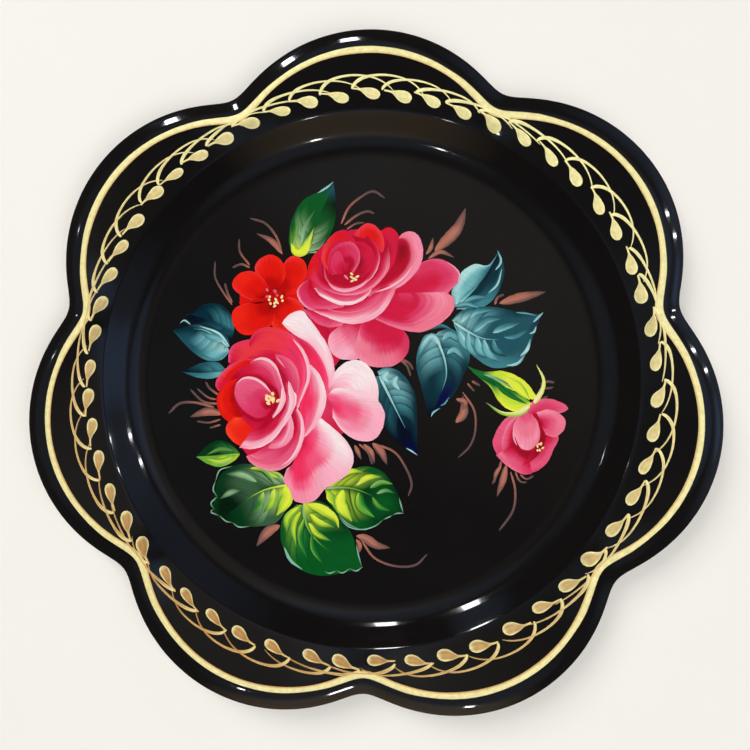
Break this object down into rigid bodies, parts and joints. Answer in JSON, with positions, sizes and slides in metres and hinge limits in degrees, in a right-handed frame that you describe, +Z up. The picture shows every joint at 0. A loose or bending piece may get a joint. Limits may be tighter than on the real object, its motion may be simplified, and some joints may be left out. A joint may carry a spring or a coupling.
{
  "type": "zhostovo painted tray",
  "caption": "Shallow scalloped serving tray in black lacquered sheet steel, with a coved well, a lobed flange, a wired rolled edge and painted flowers.",
  "frame": {"origin": "centre of the floor's flat underside, on the surface the tray stands on", "axes": "+Z up out of the well; +Y towards the tip of one lobe, which is the top of the painted picture; +X to the picture's right"},
  "size_m": [0.2968, 0.2926, 0.0208],
  "materials": {
    "black_lacquer": "high gloss black lacquer over sheet steel",
    "steel_wire": "bright drawn steel wire",
    "gold_paint": "gold powder paint under clear lacquer",
    "rose_paint": "oil paint under gloss clear lacquer",
    "leaf_paint": "oil paint under gloss clear lacquer",
    "twig_paint": "thin oil paint under gloss clear lacquer"
  },
  "bodies": {
    "root": {"tray_body": "black_lacquer", "edge_wire": "steel_wire"}
  },
  "joints": []
}
